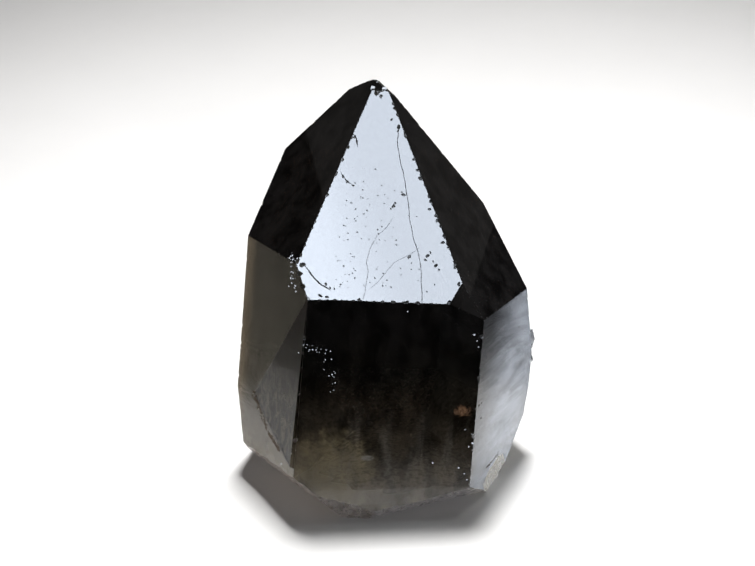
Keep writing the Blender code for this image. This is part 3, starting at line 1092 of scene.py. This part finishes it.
bm = bmesh.new()
for face, x, y, size in spots:
    place, normal = on_skin(face, x, y, GLINT_PROUD)
    if place is not None and normal.dot(front_normal) < ALREADY_BRIGHT:
        add_flake(bm, place, front_normal, size, rng)
glints = add_mesh("glints", bm)
facets = bpy.data.materials.new("fresh_facets")
facets.use_nodes = True
tree = facets.node_tree
shader = tree.nodes["Principled BSDF"]
facet_colour = mixed(tree, mottled(tree, 3.0), *FACET_COLOURS)
facet_polish = ranged(tree, mottled(tree, 5.0), 0.0, 1.0, 0.03, 0.10)
tree.links.new(facet_colour, shader.inputs["Base Color"])
tree.links.new(facet_polish, shader.inputs["Roughness"])
shader.inputs["IOR"].default_value = QUARTZ_IOR
glints.data.materials.append(facets)
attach(glints, "root")
print("glints:", len(glints.data.polygons))

# %% [markdown]
# Dark grains lie in the step beside the growth plate and in a crack near the foot, and make
# both darker. They are many small flat grains sunk into the skin along a line, which gives a
# broken, crumbly edge that a painted line would not have.

# %% Dark grains in the step and in the crack
DARK_GRAIN_LINES = [
    ("front_left", 280, 0.16,
     [(-1.9, -12.5), (-0.3, -13.9), (1.4, -15.3), (2.6, -15.85), (3.6, -16.3)]),
    ("front_right", 34, 0.05, [(-4.5, -17.65), (-3.2, -17.45), (-1.9, -17.05)]),
    ("front_right", 5, 0.3, [(-7.7, -9.5), (-7.2, -10.5), (-6.9, -12.0)]),
    ("front_right", 5, 0.8, [(-6.0, -3.0), (-3.0, -4.5), (-1.0, -6.0)]),
]
DARK_GRAIN_SUNK = 0.02
GRAIN_SIZES = (0.04, 0.15)
GRAIN_THICKNESS = 0.04
GRAIN_FACES = 20
# Near-black grains that make the step and the crack darker.
DARK_GRAIN_COLOUR = (0.018, 0.014, 0.011, 1.0)
DARK_GRAIN_PALE = (0.050, 0.038, 0.028, 1.0)

bm = bmesh.new()
for face, count, spread, line in DARK_GRAIN_LINES:
    for k in range(count):
        x, y = along(line, rng.random())
        x, y = x + rng.gauss(0, spread), y + rng.gauss(0, spread)
        place, normal = on_skin(face, x, y, -DARK_GRAIN_SUNK)
        if place is None:
            continue
        turn = normal.to_track_quat("Z", "Y").to_matrix()
        radius = rng.uniform(*GRAIN_SIZES)
        lump(bm, place, (radius * 1.4, radius, GRAIN_THICKNESS), turn, rng, 1)
dark_grains = add_mesh("dark_grains", bm)
dark_grain_paint = bpy.data.materials.new("dark_grains")
dark_grain_paint.use_nodes = True
tree = dark_grain_paint.node_tree
shader = tree.nodes["Principled BSDF"]
grains = mottled(tree, 6.0)
tree.links.new(mixed(tree, grains, DARK_GRAIN_COLOUR, DARK_GRAIN_PALE), shader.inputs["Base Color"])
relief = add_node(tree, "ShaderNodeBump", {"Height": grains, "Distance": 0.03 * MM})
tree.links.new(relief.outputs[0], shader.inputs["Normal"])
shader.inputs["Roughness"].default_value = 0.95
shader.inputs["Specular IOR Level"].default_value = 0.1
dark_grains.data.materials.append(dark_grain_paint)
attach(dark_grains, "root")
print("dirt grains:", len(dark_grains.data.polygons) // GRAIN_FACES)

# %% [markdown]
# ## Floor and light
# The crystal stands on a plain pale floor, wide enough to have no edge in any view. Its
# colour varies by a hair, as matt paint does.

# %% Floor
FLOOR_SIZE = 4.0
FLOOR_COLOURS = ((0.79, 0.79, 0.79, 1.0), (0.81, 0.81, 0.81, 1.0))
bm = bmesh.new()
bmesh.ops.create_grid(bm, x_segments=1, y_segments=1, size=FLOOR_SIZE / 2)
floor = add_mesh("floor", bm)
floor_paint = bpy.data.materials.new("floor_paint")
floor_paint.use_nodes = True
tree = floor_paint.node_tree
shader = tree.nodes["Principled BSDF"]
tree.links.new(mixed(tree, mottled(tree, 0.05), *FLOOR_COLOURS), shader.inputs["Base Color"])
shader.inputs["Roughness"].default_value = 0.9
shader.inputs["Specular IOR Level"].default_value = 0.2
floor.data.materials.append(floor_paint)
print("floor:", FLOOR_SIZE, "m")

# %% [markdown]
# A flat glossy face shows whatever it mirrors, so a crystal is lit by placing what its faces
# see. One cool softbox hangs where the front tip face mirrors it to the camera, which makes
# that face bright and shows every nick in it. It is seen only in mirrors: the floor doesn't
# get its light, so it can't fill the shadow.

# %% Softbox
SOFTBOX_DISTANCE = 250.0
SOFTBOX_SIZE = (110.0, 90.0)
SOFTBOX_GLOW = 17.0
SOFTBOX_SIDE_GLOW = 1.27
SOFTBOX_COLOUR = (0.80, 0.88, 1.0)
face_middle = on_face("tip_front", -3.0, 8.0)
view_ray = (face_middle - camera.location).normalized()
softbox_place = face_middle + view_ray.reflect(front_normal) * SOFTBOX_DISTANCE * MM


def card_at(name, size, place, target):
    """A flat card that faces a target, with an emission shader and hidden from the camera."""
    bm = bmesh.new()
    bmesh.ops.create_grid(bm, x_segments=1, y_segments=1, size=0.5)
    card = add_mesh(name, bm)
    card.scale = (size[0] * MM, size[1] * MM, 1.0)
    card.location = place
    card.rotation_euler = (target - place).to_track_quat("-Z", "Y").to_euler()
    paint = bpy.data.materials.new(name + "_glow")
    paint.use_nodes = True
    tree = paint.node_tree
    tree.nodes.remove(tree.nodes["Principled BSDF"])
    glow = add_node(tree, "ShaderNodeEmission", {"Color": (0.0, 0.0, 0.0, 1.0), "Strength": 0.0})
    tree.links.new(glow.outputs[0], tree.nodes["Material Output"].inputs["Surface"])
    card.data.materials.append(paint)
    card.visible_camera = False
    card.visible_diffuse = False
    return card, tree, glow


def across_card(tree, axis):
    """How far across a card a place is, from -0.5 to 0.5, along its X or Y."""
    place = add_node(tree, "ShaderNodeTexCoord").outputs["Object"]
    return add_node(tree, "ShaderNodeSeparateXYZ", {0: place}).outputs[axis]


softbox, tree, glow = card_at("softbox", SOFTBOX_SIZE, softbox_place, face_middle)
strength = ranged(
    tree, across_card(tree, "X"), -0.12, 0.0, SOFTBOX_GLOW * SOFTBOX_SIDE_GLOW, SOFTBOX_GLOW
)
tree.links.new(strength, glow.inputs["Strength"])
glow.inputs["Color"].default_value = (*SOFTBOX_COLOUR, 1.0)
print("softbox at", [round(c / MM) for c in softbox_place], "mm")

# %% [markdown]
# The prism faces would mirror the bright floor all the way up. Dark cards, out of the picture
# and seen only in mirrors, stand round the crystal and fade out towards the floor. So each
# prism face is dark at its top and lit at its foot, as in a room that is dark above the table.

# %% Dark cards
CARD_RADIUS = 15.0
CARDS = {
    "card_front": ((80.0, 30.0), 6.8, 15.0, -5.0, 5.0),
    "card_left": ((60.0, 40.0), -108.0, 16.0, -16.0, 4.0),
    "card_right": ((40.0, 24.0), 126.0, 5.0, -12.0, 10.0),
}


def dark_card(name, size, azimuth, gap, fade_low, fade_high):
    """A dark card that stands before a face and fades out towards its lower edge."""
    out = direction(azimuth, 0.0)
    foot = out * (CARD_RADIUS + gap)
    place = Vector((foot.x, foot.y, size[1] / 2)) * MM
    card, tree, glow = card_at(name, size, place, place - out)
    tall = across_card(tree, "Y")
    solid = ranged(tree, tall, fade_low / size[1] - 0.5, fade_high / size[1] - 0.5)
    see_through = add_node(tree, "ShaderNodeBsdfTransparent")
    both = add_node(tree, "ShaderNodeMixShader", {0: solid})
    tree.links.new(see_through.outputs[0], both.inputs[1])
    tree.links.new(glow.outputs[0], both.inputs[2])
    tree.links.new(both.outputs[0], tree.nodes["Material Output"].inputs["Surface"])
    card.visible_shadow = False
    card.visible_transmission = False
    return card


for name, (size, azimuth, gap, fade_low, fade_high) in CARDS.items():
    card = dark_card(name, size, azimuth, gap, fade_low, fade_high)
    print(name, [round(c / MM) for c in card.location])

# %% [markdown]
# Two soft lamps high behind the crystal light the floor to white and throw the only shadow
# just under the front rim. Two more stand at floor height to the right and left. They skim
# over the floor without lighting it, and reach the side faces only, cool from the right and
# warm from the left. No face mirrors any of them.

# %% Lamps
LAMPS = {
    "back_lamp": ((10.0, 140.0, 434.0), (8.0, -8.0, 0.0), 13.5, 36.2, 45.0, (1.0, 0.99, 0.98)),
    "side_lamp": ((190.0, 90.0, 400.0), (26.0, -2.0, 0.0), 1.2, 14.0, 50.0, (1.0, 0.99, 0.98)),
    "right_lamp": ((290.0, -70.0, 1.8), (14.0, -2.0, 10.0), 8.0, 12.0, 1.5, (0.92, 0.96, 1.0)),
    "left_lamp": ((-280.0, -80.0, 1.8), (-13.0, -2.0, 10.0), 5.0, 12.0, 1.5, (1.0, 0.94, 0.85)),
}


def soft_lamp(name, place, target, power, angle, radius, colour):
    """A soft spot lamp, in millimetres, watts and degrees, which no crystal face mirrors."""
    lamp = bpy.data.objects.new(name, bpy.data.lights.new(name, "SPOT"))
    lamp.location = Vector(place) * MM
    lamp.rotation_euler = (Vector(target) - Vector(place)).to_track_quat("-Z", "Y").to_euler()
    lamp.data.energy = power
    lamp.data.color = colour
    lamp.data.spot_size = math.radians(angle)
    lamp.data.spot_blend = 1.0
    lamp.data.shadow_soft_size = radius * MM
    lamp.visible_glossy = False
    lamp.visible_transmission = False
    scene.collection.objects.link(lamp)
    return lamp


for name, given in LAMPS.items():
    print(name, soft_lamp(name, *given).data.energy, "W")

# %% [markdown]
# A dim sky fills what the lamps leave, a little darker straight above than at its sides, so
# that the faces that look up stay nearly black.

# %% Sky
SKY_COLOUR = (1.0, 0.96, 0.92, 1.0)
SKY_STRENGTHS = (0.085, 0.05)
world = bpy.data.worlds.new("studio")
scene.world = world
world.use_nodes = True
tree = world.node_tree
looking = add_node(tree, "ShaderNodeTexCoord").outputs["Generated"]
looking_up = add_node(tree, "ShaderNodeSeparateXYZ", {0: looking}).outputs["Z"]
sky = ranged(tree, looking_up, 0.42, 0.95, *SKY_STRENGTHS)
tree.links.new(sky, tree.nodes["Background"].inputs["Strength"])
tree.nodes["Background"].inputs["Color"].default_value = SKY_COLOUR
print("sky strengths, low and high:", SKY_STRENGTHS)
